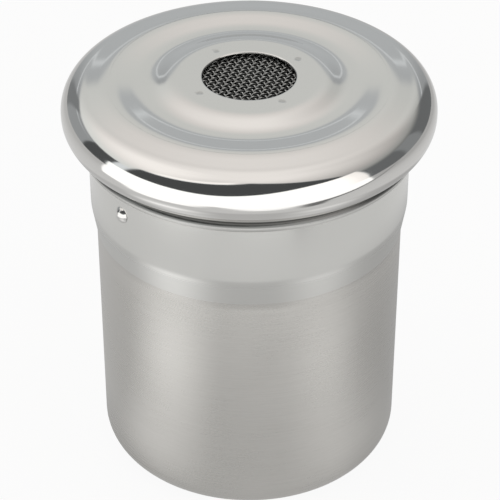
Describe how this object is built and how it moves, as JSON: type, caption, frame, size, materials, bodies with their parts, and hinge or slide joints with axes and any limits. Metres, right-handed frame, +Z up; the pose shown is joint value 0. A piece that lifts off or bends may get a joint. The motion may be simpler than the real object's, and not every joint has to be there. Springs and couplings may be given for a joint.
{
  "type": "mesh-top powder shaker",
  "caption": "Stainless-steel powder shaker: brushed cup with a flared polished neck and a domed polished lid with a woven mesh over its hole.",
  "frame": {"origin": "centre of the cup's base, on the surface that it stands on", "axes": "+Z up along the cup's axis; -Y towards the camera of the picture; +X to its right"},
  "size_m": [0.0836, 0.0836, 0.0969],
  "materials": {
    "brushed_body": "brushed round the body, polished at the neck",
    "polished_lid": "polished",
    "polished_stud": "polished",
    "plain_steel": "plain rolled sheet",
    "mesh_wire": "drawn wire"
  },
  "bodies": {
    "cup": {"cup_shell": "brushed_body", "bayonet_stud_left": "polished_stud", "bayonet_stud_right": "polished_stud"},
    "lid": {"lid_cap": "polished_lid", "lid_collar": "plain_steel", "mesh_warp_wires": "mesh_wire", "mesh_weft_wires": "mesh_wire", "mesh_retaining_ring": "plain_steel"}
  },
  "joints": [
    {"name": "lid_lift", "type": "slide", "parent": "cup", "child": "lid", "axis": [0, 0, 1], "range_m": [0, 0.04]}
  ]
}
